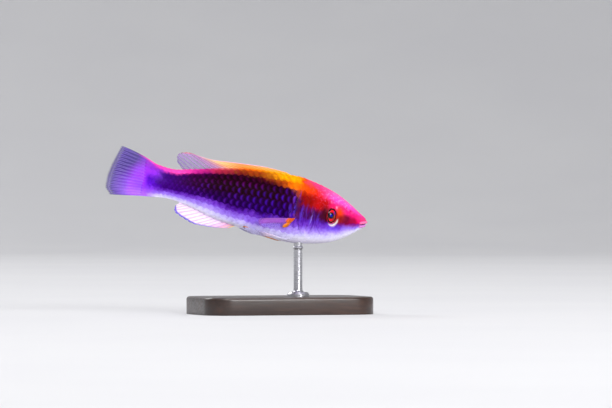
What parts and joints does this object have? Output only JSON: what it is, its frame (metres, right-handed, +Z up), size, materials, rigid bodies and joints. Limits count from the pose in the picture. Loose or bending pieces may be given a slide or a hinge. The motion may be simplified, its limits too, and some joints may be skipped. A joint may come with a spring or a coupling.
{
  "type": "lubbocks fairy wrasse model",
  "caption": "Still, life-size model of a male Lubbock's fairy wrasse swimming head down, with folded fins, held over a flat base by one short rod.",
  "frame": {"origin": "middle of the base's underside, on the surface it stands on", "axes": "+X the way the fish heads, +Y towards its left side, +Z up"},
  "size_m": [0.0777, 0.03, 0.0477],
  "materials": {
    "skin": "moist and satin, violet flanks, red head, orange back and pale belly",
    "tail_fin": "thin, translucent, satin",
    "dorsal_fin": "thin, translucent, satin",
    "anal_fin": "thin, translucent, satin",
    "breast_fins": "thin, translucent, satin",
    "belly_fins": "thin, translucent, satin",
    "eyes": "clear gloss over a red iris and a dark blue pupil",
    "base": "dark stain, satin",
    "rod": "satin, turned"
  },
  "bodies": {
    "root": {"head": "skin", "trunk": "skin", "tail_stalk": "skin", "tail_fin": "tail_fin", "dorsal_fin": "dorsal_fin", "anal_fin": "anal_fin", "pectoral_fin_left": "breast_fins", "pectoral_fin_right": "breast_fins", "pelvic_fin_left": "belly_fins", "pelvic_fin_right": "belly_fins", "eye_left": "eyes", "eye_right": "eyes", "stand_base": "base", "stand_rod": "rod"}
  },
  "joints": []
}
